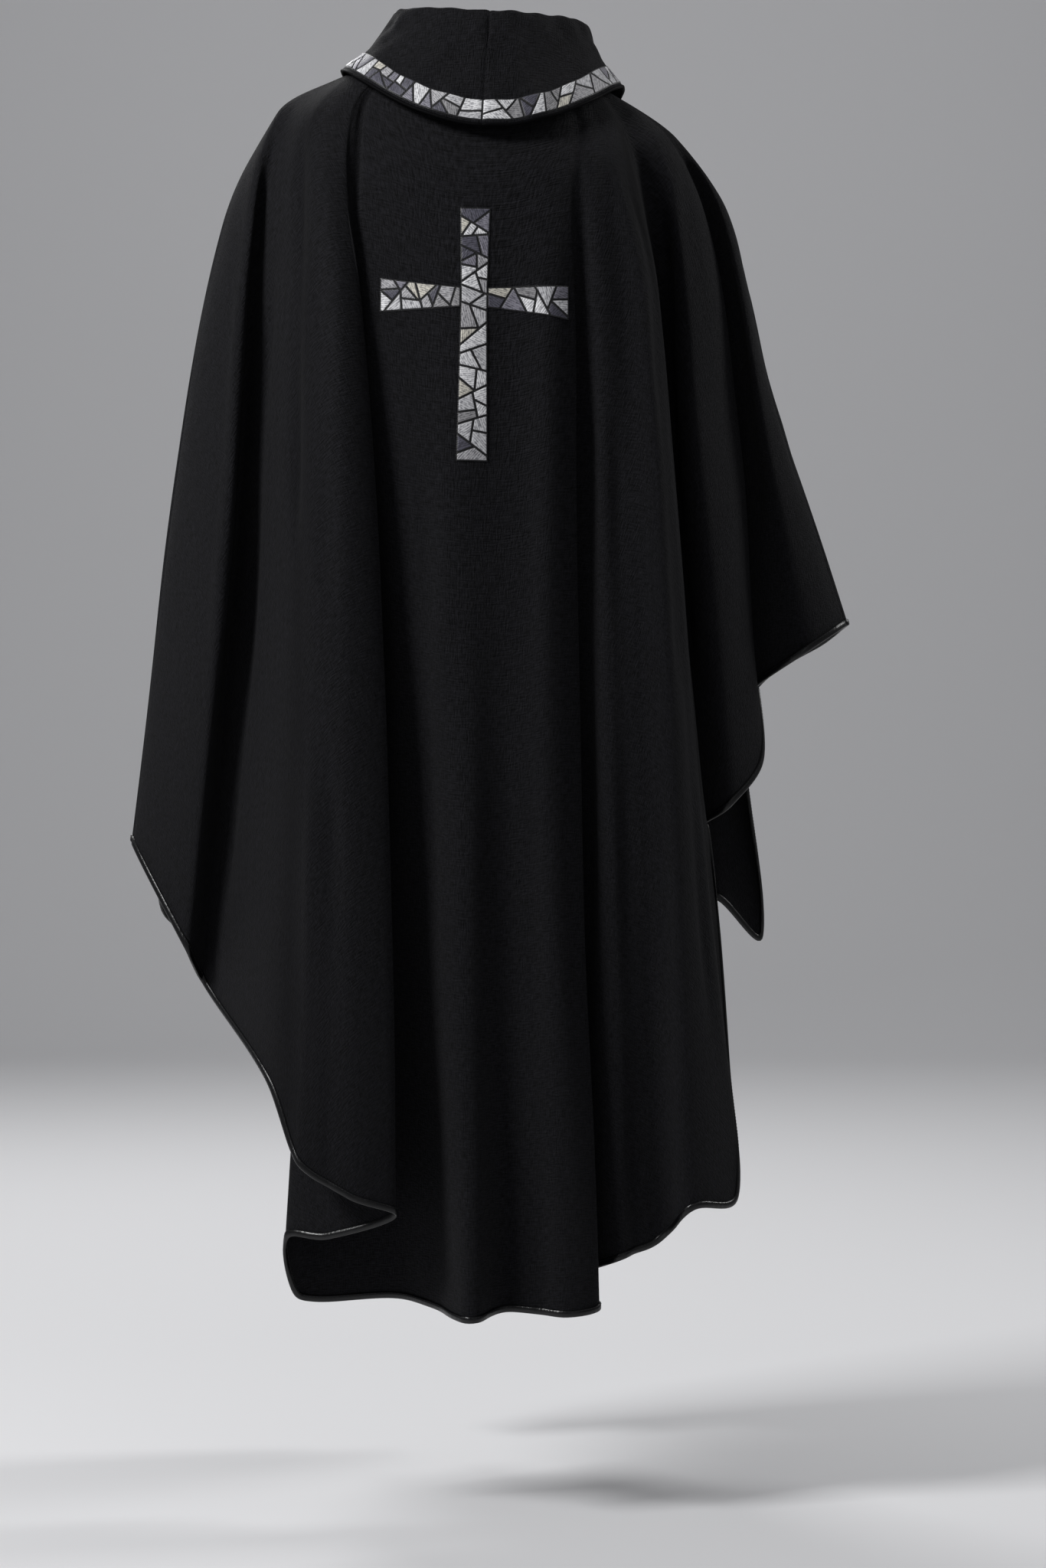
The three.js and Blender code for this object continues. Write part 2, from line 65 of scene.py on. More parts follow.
# Each fold: its name, its angle round the neck from the centre back, how far it stands up at the
# shoulder, where it is at half its fall (x, y) and where it ends at the hem (x, y, z).
BACK_FOLDS = [
    ("left shoulder seam", 90, 0, (325, 5), (372, 10, -802)),
    ("left wing crest", 82, 3, (263, 96), (308, 92, -912)),
    ("left wing valley", 74, -4, (253, 56), (288, 62, -957)),
    ("left lobe side", 58, 2, (197, 144), (216, 178, -1044)),
    ("left lobe middle", 52, 5, (171, 167), (180, 214, -1127)),
    ("left lobe crest", 45, 8, (132, 190), (128, 235, -1163)),
    ("left pleat outer fold", 39, 6, (94, 172), (80, 215, -1184)),
    ("left pleat underside", 38, 1, (122, 146), (152, 185, -1210)),
    ("left pleat inner fold", 37, -4, (158, 131), (197, 161, -1213)),
    ("left pleat return", 36, -5, (156, 117), (191, 134, -1270)),
    ("under the left pleat", 33, -3, (120, 112), (168, 124, -1283)),
    ("left centre valley", 22, 0, (76, 144), (78, 124, -1280)),
    ("centre crest", 4, 0, (20, 178), (8, 215, -1293)),
    ("centre hollow", -10, 0, (-34, 166), (-34, 180, -1286)),
    ("right centre crest", -21, 1, (-77, 176), (-96, 200, -1289)),
    ("right pleat outer fold", -27, 0, (-110, 150), (-130, 178, -1283)),
    ("right pleat inner fold", -30, -2, (-97, 136), (-92, 140, -1270)),
    ("right pleat return", -32, -3, (-111, 129), (-106, 124, -1256)),
    ("right lobe first crest", -35, 1, (-139, 154), (-152, 160, -1235)),
    ("right lobe hollow", -40, 1, (-176, 146), (-193, 140, -1219)),
    ("right lobe second crest", -43, 3, (-207, 150), (-228, 165, -1182)),
    ("right lobe corner", -46, 4, (-225, 122), (-275, 120, -1175)),
    ("right edge low", -48, 3, (-219, 102), (-268, 100, -1050)),
    ("right edge middle", -50, 0, (-212, 84), (-259, 85, -902)),
    ("right edge high", -53, -5, (-207, 66), (-248, 75, -799)),
    ("under the right edge", -57, -8, (-206, 40), (-241, 45, -785)),
    ("right arm fold crest", -65, 3, (-233, 78), (-273, 60, -762)),
    ("right arm fold corner", -73, 2, (-260, 58), (-309, 30, -716)),
    ("right arm fold top", -78, -3, (-281, 20), (-307, 0, -646)),
    ("right arm valley", -81, -4, (-284, -4), (-304, -15, -633)),
    ("right wing crest", -86, 3, (-304, 24), (-353, 10, -599)),
    ("right shoulder seam", -90, 0, (-319, -10), (-403, -30, -566)),
]
FRONT_FOLDS = [
    ("right cuff crest", -97, 2, (-312, -62), (-388, -85, -580)),
    ("right cuff valley", -104, -3, (-264, -78), (-298, -102, -658)),
    ("right lappet tip", -111, 3, (-252, -118), (-318, -134, -909)),
    ("right lappet valley", -118, -3, (-216, -118), (-262, -112, -868)),
    ("right front crest", -126, 4, (-220, -168), (-242, -182, -968)),
    ("right front valley", -134, -3, (-174, -162), (-203, -158, -1058)),
    ("right chest crest", -143, 3, (-135, -222), (-173, -248, -1190)),
    ("right chest valley", -152, -2, (-91, -205), (-111, -205, -1247)),
    ("right middle crest", -162, 2, (-48, -245), (-68, -280, -1299)),
    ("front middle valley", -172, 0, (-8, -222), (-11, -225, -1295)),
    ("left middle crest", -182, 2, (36, -248), (47, -285, -1305)),
    ("left middle valley", -192, -1, (72, -215), (96, -215, -1285)),
    ("left chest crest", -203, 3, (114, -232), (146, -258, -1266)),
    ("left chest valley", -213, -2, (150, -185), (170, -190, -1222)),
    ("left front crest", -222, 4, (174, -196), (206, -214, -1146)),
    ("left front valley", -231, -3, (192, -142), (216, -148, -1072)),
    ("left side crest", -239, 3, (228, -142), (252, -156, -990)),
    ("left side valley", -247, -3, (250, -88), (272, -90, -930)),
    ("left cuff crest", -255, 3, (307, -82), (344, -94, -888)),
    ("left cuff valley", -262, -3, (312, -40), (352, -42, -838)),
]

# One line round the collar per row: how far it sits off the middle, its half width, its reach to the back
# and front, and its heights.
COLLAR_LINES = [
    dict(name="neck seam", shift=0, half=87.5, back=77.2, front=89.4, z_back=4, z_side=36, z_front=-48),
    dict(name="stand", shift=-6, half=92, back=75, front=90, z_back=44, z_side=62, z_front=-12),
    dict(name="inside the roll", shift=-12, half=97, back=77, front=96, z_back=74, z_side=80, z_front=16),
    dict(name="roll", shift=-15, half=104, back=82, front=102, z_back=82, z_side=87, z_front=22),
    dict(name="upper fall", shift=-13, half=115, back=91, front=112, z_back=56, z_side=65, z_front=-8),
    dict(name="middle fall", shift=-10, half=130, back=107, front=128, z_back=10, z_side=44, z_front=-54),
    dict(name="collar edge", shift=-7, half=153, back=129, front=150, z_back=-47, z_side=23, z_front=-114),
]

# Cloth walls, the bindings round their edges and the band on the collar.
PANEL_WALL = 2.0
COLLAR_WALL = 2.2
HEM_BIND = dict(depth=6.3, wall=0.7)
COLLAR_BIND = dict(depth=2.7, wall=0.45)
BAND_ABOVE = 5.5
BAND_WIDTH = 25

# A binding's section on one side of the cloth: how far up its depth, how far it drops below the edge and
# how far it stands off, as shares of its depth and wall.
BINDING_SECTION = [
    (1, 0, 0.2),
    (0.9, 0, 0.9),
    (0.5, 0, 1.08),
    (0.1, 0, 1.02),
    (0, 0.5, 0.75),
    (0, 0.85, 0.3),
]
BINDING_DROP = 1.6
STITCH_LINE = 0.78

# A stitch is a small spindle: rings along its length and how full each is.
STITCH = dict(length=2.6, gap=1.0, radius=0.32, sides=5)
STITCH_RINGS = [(-0.5, 0.35), (-0.3, 1.0), (0.3, 1.0), (0.5, 0.35)]

# The cross. Its stem is parted by two slanting lines, given by their heights at its left and right side,
# so that each part is convex.
CROSS = dict(x=0.5, z=-231, tilt=0.8, arm_tilt=1.8, up=95, down=172, arm=99)
CROSS_WIDTHS = dict(stem_top=32, stem_waist=28, stem_foot=33, arm_waist=21, arm_tip=36)
UPPER_LINE = (3, 13)
LOWER_LINE = (-14, -5)

# Creases laid on the folds. place and end are fold numbers, counted from the left shoulder seam
# round the back and on round the front. start and stop say how far down the fall, and lift is negative
# for a trough.
CREASES = [
    dict(place=1.6, end=1.5, start=0.16, stop=0.75, width=7, lift=-5),
    dict(place=3.2, end=3.3, start=0.10, stop=0.55, width=14, lift=-5),
    dict(place=4.2, end=4.1, start=0.30, stop=1.00, width=26, lift=4),
    dict(place=2.5, end=2.2, start=0.25, stop=0.95, width=12, lift=-4),
    dict(place=8.8, end=9.0, start=0.03, stop=0.22, width=4, lift=-2.2),
    dict(place=11.3, end=11.5, start=0.35, stop=1.00, width=22, lift=-5),
    dict(place=12.4, end=12.2, start=0.45, stop=1.00, width=16, lift=4),
    dict(place=13.4, end=13.6, start=0.20, stop=1.00, width=14, lift=-3),
    dict(place=17.4, end=17.3, start=0.25, stop=0.85, width=9, lift=-4),
    dict(place=18.5, end=18.4, start=0.30, stop=1.00, width=12, lift=-4),
    dict(place=20.5, end=20.7, start=0.20, stop=0.90, width=8, lift=-3),
    dict(place=25.5, end=25.3, start=0.15, stop=0.85, width=8, lift=-4),
    dict(place=29.6, end=29.4, start=0.20, stop=0.80, width=12, lift=-4),
    dict(place=20.35, end=20.25, start=0.26, stop=0.62, width=8, lift=-3),
    dict(place=34.5, end=34.7, start=0.30, stop=0.95, width=16, lift=-5),
    dict(place=38.4, end=38.1, start=0.15, stop=0.80, width=12, lift=-4),
    dict(place=40.5, end=40.8, start=0.40, stop=1.00, width=18, lift=5),
    dict(place=43.6, end=43.4, start=0.25, stop=0.90, width=12, lift=-4),
    dict(place=47.3, end=47.6, start=0.20, stop=1.00, width=15, lift=-5),
]
SMALL_CREASES = 110
SLUMP = 1.6
SEAM_SINK = 1.3

# The largest patch of each strip in square millimetres, and the seeds of the layouts.
LARGEST_PATCH = dict(stem=440, arm=400, band=430)
STEM_SEEDS = (61, 60, 66)
ARM_SEEDS = {-1: 62, 1: 65}
CROSS_SHADE_SEED = 9
BAND_SEEDS = {"left": 23, "right": 31}

# How finely the pieces are meshed.
BACK_MESH = dict(columns=430, rows=200, middle_fold=12)
FRONT_MESH = dict(columns=400, rows=190, middle_fold=41)
BAND_MESH = dict(rows=36, step=0.75)
CROSS_MESH = dict(columns=42, step=0.7)

RIB_KNOTS = np.array([0, 0.06, 0.13, 0.28, 0.58, 1.0])


# Curves and the cloth's form, as arrays of points.
def mix(a, b, t):
    return a + (b - a) * t


def through(knots, points, t):
    """A smooth curve through points at rising knots, at each t."""
    knots = np.asarray(knots, float)
    points = np.asarray(points, float)
    t = np.asarray(t, float)
    last = len(knots) - 1
    before = np.maximum(np.arange(last + 1) - 1, 0)
    after = np.minimum(np.arange(last + 1) + 1, last)
    tail = (1,) * (points.ndim - 1)
    slopes = (points[after] - points[before]) / (knots[after] - knots[before]).reshape(-1, *tail)
    i = np.clip(np.searchsorted(knots, t, side="left") - 1, 0, last - 1)
    span = knots[i + 1] - knots[i]
    s = ((t - knots[i]) / span).reshape(-1, *tail)
    span = span.reshape(-1, *tail)
    start = (2 * s**3 - 3 * s**2 + 1) * points[i] + (s**3 - 2 * s**2 + s) * span * slopes[i]
    stop = (3 * s**2 - 2 * s**3) * points[i + 1] + (s**3 - s**2) * span * slopes[i + 1]
    return start + stop


def round_neck(line, turn, out=0.0):
    """Points on an oval line round the neck, at angles from the centre back."""
    a = np.radians(np.asarray(turn, float))
    c = np.cos(a)
    depth = np.where(c > 0, line["back"], line["front"]) + out
    z_end = np.where(c > 0, line["z_back"], line["z_front"])
    x = (line["half"] + out) * np.sin(a)
    z = mix(line["z_side"], z_end, c * c) + LEAN * x
    return np.stack([x, depth * c, z], -1)


def rib(fold):
    """The six points that a fold runs through, from the neck seam to the hem."""
    name, turn, lift, half_xy, hem_xyz = fold
    spread = math.sin(math.radians(2 * turn))
    yoke_turn = turn + SPLAY_YOKE * spread
    neck = round_neck(NECK, turn + SPLAY_NECK * spread)
    yoke = (round_neck(NECK, yoke_turn) + round_neck(SHOULDER, yoke_turn, lift)) / 2
    yoke[2] += YOKE_RISE
    shoulder = round_neck(SHOULDER, turn, lift)
    hem = np.array(hem_xyz, float)
    half = np.array([half_xy[0], half_xy[1], (shoulder[2] + hem[2]) / 2])
    part = np.array([BOW_OUT, BOW_OUT, BOW_DOWN])
    bow = mix(shoulder, half, part) + BOW_SHIFT.get(name, (0, 0, 0))
    return np.array([neck, yoke, shoulder, bow, half, hem])


FOLDS = BACK_FOLDS + FRONT_FOLDS
RIBS = np.array([rib(fold) for fold in FOLDS])
COUNT = len(FOLDS)
following = np.roll(RIBS, -1, axis=0)
apart = np.linalg.norm(following - RIBS, axis=2)
apart = (apart[:, 4] + apart[:, 5]) / 2
FOLD_U = np.concatenate([[0], np.cumsum(np.sqrt(apart))])
ROUND = FOLD_U[-1]


def u_of(number):
    """How far round the ring a fold number lies."""
    return np.interp(number, np.arange(COUNT + 1), FOLD_U)


def cloth(us, vs):
    """The bare cloth, a grid of points: us round the ring by vs down each fold."""
    down = through(RIB_KNOTS, RIBS.transpose(1, 0, 2), vs).transpose(1, 0, 2)
    wrap = 3
    knots = np.concatenate([FOLD_U[-1 - wrap:-1] - ROUND, FOLD_U[:-1], FOLD_U[:wrap] + ROUND])
    points = np.concatenate([down[-wrap:], down, down[:wrap]])
    return through(knots, points, us)


def normals(grid):
    """Each grid point's normal, across the first axis and down the second."""
    across = np.gradient(grid, axis=0)
    down = np.gradient(grid, axis=1)
    n = np.cross(down, across)
    return n / np.maximum(np.linalg.norm(n, axis=2, keepdims=True), 1e-9)


def arc(grid, axis):
    """The length along one axis of a grid, from its start."""
    steps = np.linalg.norm(np.diff(grid, axis=axis), axis=2)
    total = np.cumsum(steps, axis=axis)
    pad = [(0, 0), (0, 0)]
    pad[axis] = (1, 0)
    return np.pad(total, pad)


def ease(x, low, high):
    """0 below low, 1 above high, and smooth between."""
    t = np.clip((x - low) / (high - low), 0, 1)
    return t * t * (3 - 2 * t)


def along_line(at, measure, values):
    """Points at given lengths along a line, from its own points and how far along each lies."""
    return np.stack([np.interp(at, measure, values[:, c]) for c in range(values.shape[1])], -1)


def measured(line):
    """How far along a line each of its points lies."""
    return np.concatenate([[0], np.cumsum(np.linalg.norm(np.diff(line, axis=0), axis=1))])


def small_creases():
    """Uneven small creases all over the cloth, from a seed."""
    chance = random.Random(41)
    rows = []
    for _ in range(SMALL_CREASES):
        place = chance.uniform(0, COUNT)
        start = chance.choice([0.06, 0.12, 0.2, 0.3, 0.45, 0.6])
        rows.append(dict(
            place=place,
            end=place + chance.uniform(-0.5, 0.5),
            start=start + chance.uniform(0, 0.08),
            stop=min(1.05, start + chance.uniform(0.25, 0.75)),
            width=chance.uniform(6, 17),
            lift=chance.uniform(-2.4, 2.0),
        ))
    return rows


def crease_reach(row, vs):
    """How strong a crease is at each height: it fades in, wavers, and fades out short of the hem."""
    ramp = 0.12 * (row["stop"] - row["start"]) + 0.04
    rise = ease(vs, row["start"], row["start"] + ramp)
    fade = ease(vs, row["stop"] - ramp, row["stop"])
    wave = 1 + 0.35 * np.sin(vs * 23 + row["place"] * 5)
    return wave * (rise if row["stop"] >= 1 else rise * (1 - fade))


def crease_lift(us, vs, grid):
    """How far the creases lift or sink each point of the cloth."""
    along = arc(grid, 0)
    lift = np.zeros(along.shape)
    margin = 2
    for row in CREASES + small_creases():
        for turn in (-ROUND, 0, ROUND):
            middle = mix(u_of(row["place"]), u_of(row["end"]), np.clip(vs, 0, 1)) + turn
            if middle.max() < us[0] - margin or middle.min() > us[-1] + margin:
                continue
            centre = np.array([np.interp(m, us, along[:, j]) for j, m in enumerate(middle)])
            outside = np.where(middle < us[0], us[0] - middle, np.maximum(middle - us[-1], 0)) * 12
            off = np.abs(along - centre[None, :]) + outside[None, :]
            lift += row["lift"] * crease_reach(row, vs)[None, :] * np.exp(-((off / row["width"]) ** 2))
    return lift


def slump(us, vs, seed):
    """A slow unevenness of the whole cloth."""
    chance = random.Random(seed)
    total = np.zeros((len(us), len(vs)))
    for _ in range(16):
        turns = chance.randint(2, 24)
        fall = chance.uniform(1, 7)
        phase = chance.uniform(0, 2 * math.pi)
        swing = np.cos(2 * math.pi * turns * us / ROUND + phase)[:, None]
        total += swing * np.cos(fall * vs * math.pi + phase * 3)[None, :] / 4
    return total


def dressed(us, vs):
    """The cloth with its creases: points and normals."""
    bare = cloth(us, vs)
    n = normals(bare)
    amount = crease_lift(us, vs, bare)
    amount = amount + SLUMP * slump(us, vs, 7) * ease(vs, 0.03, 0.3)[None, :]
    seams = u_of(np.array([0, len(BACK_FOLDS) - 1, COUNT]))
    for seam in seams:
        near = np.abs(us - seam)
        amount = amount * ease(near, 0.0, 0.7)[:, None]
        amount = amount - SEAM_SINK * np.exp(-((near / 0.12) ** 2))[:, None]
    amount = amount * ease(vs, 0.0, 0.08)[None, :]
    grid = bare + n * amount[:, :, None]
    return grid, normals(grid)


# Meshes, materials and the pieces' facts.
def linear(code):
    """The linear colour of a hex code such as #1B1B1E."""
    parts = [int(code[k:k + 2], 16) / 255 for k in (1, 3, 5)]
    return [p / 12.92 if p <= 0.04045 else ((p + 0.055) / 1.055) ** 2.4 for p in parts] + [1.0]


def make_piece(name, points, faces, material, attributes=()):
    mesh = bpy.data.meshes.new(name)
    mesh.from_pydata((np.asarray(points) * MM).tolist(), [], faces)
    for label, values in attributes:
        values = np.asarray(values, np.float32)
        kind = "FLOAT" if values.ndim == 1 else "FLOAT_VECTOR"
        field = "value" if values.ndim == 1 else "vector"
        mesh.attributes.new(label, kind, "POINT").data.foreach_set(field, values.ravel())
    if material:
        mesh.materials.append(material)
    mesh.shade_smooth()
    mesh.validate()
    piece = bpy.data.objects.new(name, mesh)
    bpy.context.scene.collection.objects.link(piece)
    return piece


def grid_faces(rows, columns, start=0, flip=False, closed=False):
    """Quads over a grid of points. closed joins its last column to its first."""
    i, j = np.meshgrid(np.arange(rows - 1), np.arange(columns if closed else columns - 1), indexing="ij")
    a = (start + i * columns + j).ravel()
    b = (start + i * columns + (j + 1) % columns).ravel()
    quads = np.stack([a, b, b + columns, a + columns], -1)
    if flip:
        quads = quads[:, ::-1]
    return quads.tolist()


def tube_piece(name, sections, material, attributes=()):
    """A closed strip over sections, with its two ends capped."""
    rows, columns, _ = sections.shape
    faces = grid_faces(rows, columns, closed=True)
    faces.append(list(range(columns))[::-1])
    faces.append([(rows - 1) * columns + j for j in range(columns)])
    return make_piece(name, sections.reshape(-1, 3), faces, material, attributes)


def square_down(grid, n):
    """At each point of a grid's last row, the direction off the cloth square to its edge."""
    tangent = np.gradient(grid[:, -1], axis=0)
    square = np.cross(tangent, n[:, -1])
    square /= np.linalg.norm(square, axis=1, keepdims=True)
    fall = grid[:, -1] - grid[:, -2]
    if (square * fall).sum() < 0:
        square = -square
    return square


def binding_piece(name, grid, n, wall, size, material):
    """A soft binding folded round the edge of the cloth, and the line that its stitches follow."""
    edge = grid[:, -1]
    out = n[:, -1]
    down = square_down(grid, n)
    fall = edge - grid[:, -2]
    step = np.linalg.norm(fall, axis=1, keepdims=True)
    slant = np.maximum((fall * down).sum(1, keepdims=True) / step, 0.3)
    top = np.empty_like(edge)
    top_out = np.empty_like(edge)
    height = arc(grid[:, ::-1], 1)
    for k in range(len(edge)):
        reach = size["depth"] / slant[k, 0]
        top[k] = along_line(reach, height[k], grid[k, ::-1])
        top_out[k] = along_line(reach, height[k], n[k, ::-1])
    thick = wall / 2 + size["wall"]
    points = []
    for face, rows in ((1, BINDING_SECTION), (-1, reversed(BINDING_SECTION))):
        for part, drop, stand in rows:
            off = mix(out, top_out, part) * thick * stand * face
            fallen = down * drop * size["wall"] * BINDING_DROP
            points.append(mix(edge, top, part) + off + fallen)
    sections = np.stack(points, 1)
    weave = np.zeros(sections.shape)
    weave[:, :, 0] = measured(edge)[:, None]
    weave[:, :, 1] = np.arange(sections.shape[1])[None, :] * 1.3
    piece = tube_piece(name, sections, material, [("weave", weave.reshape(-1, 3))])
    stitch_out = mix(out, top_out, STITCH_LINE)
    line = mix(edge, top, STITCH_LINE) + stitch_out * thick * 1.04
    return piece, line, stitch_out


def stitch_piece(name, line, out, material):
    """A row of short stitches along a line, each a small spindle half sunk in the cloth."""
    length = STITCH["length"]
    sides = STITCH["sides"]
    along = measured(line)
    centres = np.arange(2.0, along[-1] - 2.0, length + STITCH["gap"])
    middle = along_line(centres, along, line)
    ahead = along_line(centres + length / 2, along, line) - along_line(centres - length / 2, along, line)
    ahead /= np.linalg.norm(ahead, axis=1, keepdims=True)
    up = along_line(centres, along, out)
    up -= ahead * (up * ahead).sum(1, keepdims=True)
    up /= np.linalg.norm(up, axis=1, keepdims=True)
    side = np.cross(ahead, up)
    points = []
    for where, swell in STITCH_RINGS:
        ring = middle + ahead * where * length
        for k in range(sides):
            a = 2 * math.pi * k / sides
            points.append(ring + (up * math.sin(a) + side * math.cos(a)) * STITCH["radius"] * swell)
    points = np.stack(points, 1)
    last_ring = (len(STITCH_RINGS) - 1) * sides
    faces = []
    for s in range(len(centres)):
        start = s * len(STITCH_RINGS) * sides
        faces += grid_faces(len(STITCH_RINGS), sides, start, closed=True)
        faces.append([start + k for k in range(sides)][::-1])
        faces.append([start + last_ring + k for k in range(sides)])
    return make_piece(name, points.reshape(-1, 3), faces, material)


# Node materials.
def node(tree, kind, settings=None, **inputs):
    """Adds a node with its settings and its inputs, values or links. i0 is its first socket, and so on."""
    made = tree.nodes.new(kind)
    for key, value in (settings or {}).items():
        setattr(made, key, value)
    for key, value in inputs.items():
        label = key.replace("_", " ")
        socket = made.inputs[int(key[1:])] if key[0] == "i" and key[1:].isdigit() else made.inputs[label]
        if isinstance(value, bpy.types.NodeSocket):
            tree.links.new(value, socket)
        else:
            socket.default_value = value
    return made


def new_material(name, roughness, sheen=0.0, sheen_roughness=0.5, specular=0.5):
    material = bpy.data.materials.new(name)
    material.use_nodes = True
    tree = material.node_tree
    shader = next(n for n in tree.nodes if n.bl_idname == "ShaderNodeBsdfPrincipled")
    shader.inputs["Roughness"].default_value = roughness
    shader.inputs["Sheen Weight"].default_value = sheen
    shader.inputs["Sheen Roughness"].default_value = sheen_roughness
    shader.inputs["Specular IOR Level"].default_value = specular
    return material, tree, shader


def scaled(tree, vector, scale):
    """A vector with each part multiplied."""
    return node(tree, "ShaderNodeVectorMath", {"operation": "MULTIPLY"}, i0=vector, i1=scale).outputs[0]


def noise(tree, vector, scale, detail=3.0, roughness=0.55):
    inputs = dict(Vector=vector, Scale=scale, Detail=detail, Roughness=roughness)
    return node(tree, "ShaderNodeTexNoise", None, **inputs).outputs["Fac"]


def math_node(tree, operation, a, b=0.0):
    return node(tree, "ShaderNodeMath", {"operation": operation}, i0=a, i1=b).outputs[0]


def remap(tree, value, low, high):
    """0 at low and 1 at high."""
    made = node(tree, "ShaderNodeMapRange", None, Value=value)
    made.inputs["From Min"].default_value = low
    made.inputs["From Max"].default_value = high
    return made.outputs[0]


def attribute(tree, name, output="Vector"):
    return node(tree, "ShaderNodeAttribute", {"attribute_name": name}).outputs[output]


def blend_colour(tree, factor, a, b):
    made = node(tree, "ShaderNodeMix", {"data_type": "RGBA"})
    for socket, value in ((made.inputs[0], factor), (made.inputs[6], a), (made.inputs[7], b)):
        if isinstance(value, bpy.types.NodeSocket):
            tree.links.new(value, socket)
        else:
            socket.default_value = value
    return made.outputs[2]


def weave_bump(tree, shader, height, strength, distance):
    bump = node(tree, "ShaderNodeBump", None, Height=height, Strength=strength, Distance=distance)
    tree.links.new(bump.outputs["Normal"], shader.inputs["Normal"])


def wool_material():
    """Matt crepe: crossing slubbed threads, a cloudy unevenness and a soft sheen."""
    material, tree, shader = new_material("wool", 0.86, sheen=0.015, sheen_roughness=0.5, specular=0.13)
    weave = attribute(tree, "weave")
    warp = noise(tree, scaled(tree, weave, (0.75, 0.10, 1.0)), 1.0, 3.0)
    weft = noise(tree, scaled(tree, weave, (0.09, 0.62, 1.0)), 1.0, 3.0)
    slub = noise(tree, scaled(tree, weave, (0.13, 0.50, 1.0)), 1.0, 2.0)
    cloud = noise(tree, scaled(tree, weave, (0.012, 0.012, 1.0)), 1.0, 4.0)
    threads = math_node(tree, "ADD", warp, weft)
    height = math_node(tree, "ADD", threads, math_node(tree, "MULTIPLY", slub, 0.5))
    wave = blend_colour(tree, remap(tree, threads, 0.78, 1.22), linear("#020203"), linear("#212125"))
    cloudy = blend_colour(tree, cloud, linear("#0A0A0C"), linear("#141417"))
    tree.links.new(blend_colour(tree, 0.35, wave, cloudy), shader.inputs["Base Color"])
    weave_bump(tree, shader, height, 1.0, 0.0020)
    return material


def satin_material(name, roughness, specular):
    """Bias satin: shiny, with fine slanted threads."""
    material, tree, shader = new_material(name, roughness, specular=specular)
    weave = attribute(tree, "weave")
    threads = noise(tree, scaled(tree, weave, (0.6, 2.4, 1.0)), 1.0, 2.0)
    pucker = noise(tree, scaled(tree, weave, (0.16, 0.05, 1.0)), 1.0, 2.0)
    colour = blend_colour(tree, threads, linear("#030304"), linear("#09090B"))
    tree.links.new(colour, shader.inputs["Base Color"])
    height = math_node(tree, "ADD", pucker, math_node(tree, "MULTIPLY", threads, 0.2))
    weave_bump(tree, shader, height, 0.5, 0.0012)
    return material


def thread_material():
    material, tree, shader = new_material("black_thread", 0.5, specular=0.4)
    place = node(tree, "ShaderNodeTexCoord").outputs["Object"]
    spots = noise(tree, place, 900.0, 1.0)
    colour = blend_colour(tree, spots, linear("#0A0A0C"), linear("#1A1A1D"))
    tree.links.new(colour, shader.inputs["Base Color"])
    return material


def embroidery_material():
    """Satin stitch in patches: each patch's shade and stitch direction come with its points."""
    material, tree, shader = new_material("embroidery", 0.5, sheen=0.15, specular=0.35)
    shade = attribute(tree, "shade")
    stitch = attribute(tree, "stitch")
    edge = attribute(tree, "edge", "Fac")
    # Streaks along the stitches dim each patch's colour to about a third: painted shade between the strands
    # and a painted lustre.
    strands = noise(tree, scaled(tree, stitch, (0.13, 0.46, 1.0)), 1.0, 4.0)
    painted_lustre = noise(tree, scaled(tree, stitch, (0.32, 0.4, 1.0)), 1.0, 3.0)
    rows = node(tree, "ShaderNodeTexWave", {"wave_type": "BANDS", "bands_direction": "Y"},
                Vector=scaled(tree, stitch, (0.14, 0.14, 0.0)), Scale=1.0, Distortion=1.2, Detail=1.0)
    # A copy of each patch's colour at about a third, used for the painted shade and painted lustre streaks.
    painted_shade_colour = scaled(tree, shade, (0.32, 0.32, 0.34))
    mixed = math_node(tree, "ADD", strands, painted_lustre)
    mixed = math_node(tree, "ADD", mixed, math_node(tree, "MULTIPLY", rows.outputs["Fac"], 0.22))
    patch = blend_colour(tree, remap(tree, mixed, 0.88, 1.22), painted_shade_colour, shade)
    colour = blend_colour(tree, remap(tree, edge, 1.05, 1.45), linear("#0C0C0F"), patch)
    tree.links.new(colour, shader.inputs["Base Color"])
    weave_bump(tree, shader, mixed, 0.7, 0.0007)
    return material


# Embroidery: a strip is cut at random into patches. Each shade has its share of them.
SHADES = [
    ("#EDEDEF", 6),
    ("#CFCFD2", 5),
    ("#B2B1B4", 4),
    ("#989799", 3),
    ("#D6D2C6", 1),
    ("#86848F", 4),
    ("#54535F", 4),
]
SLANTS = [-38, -30, -18, 12, 26, 34, 40]
PATCH_APART = 37


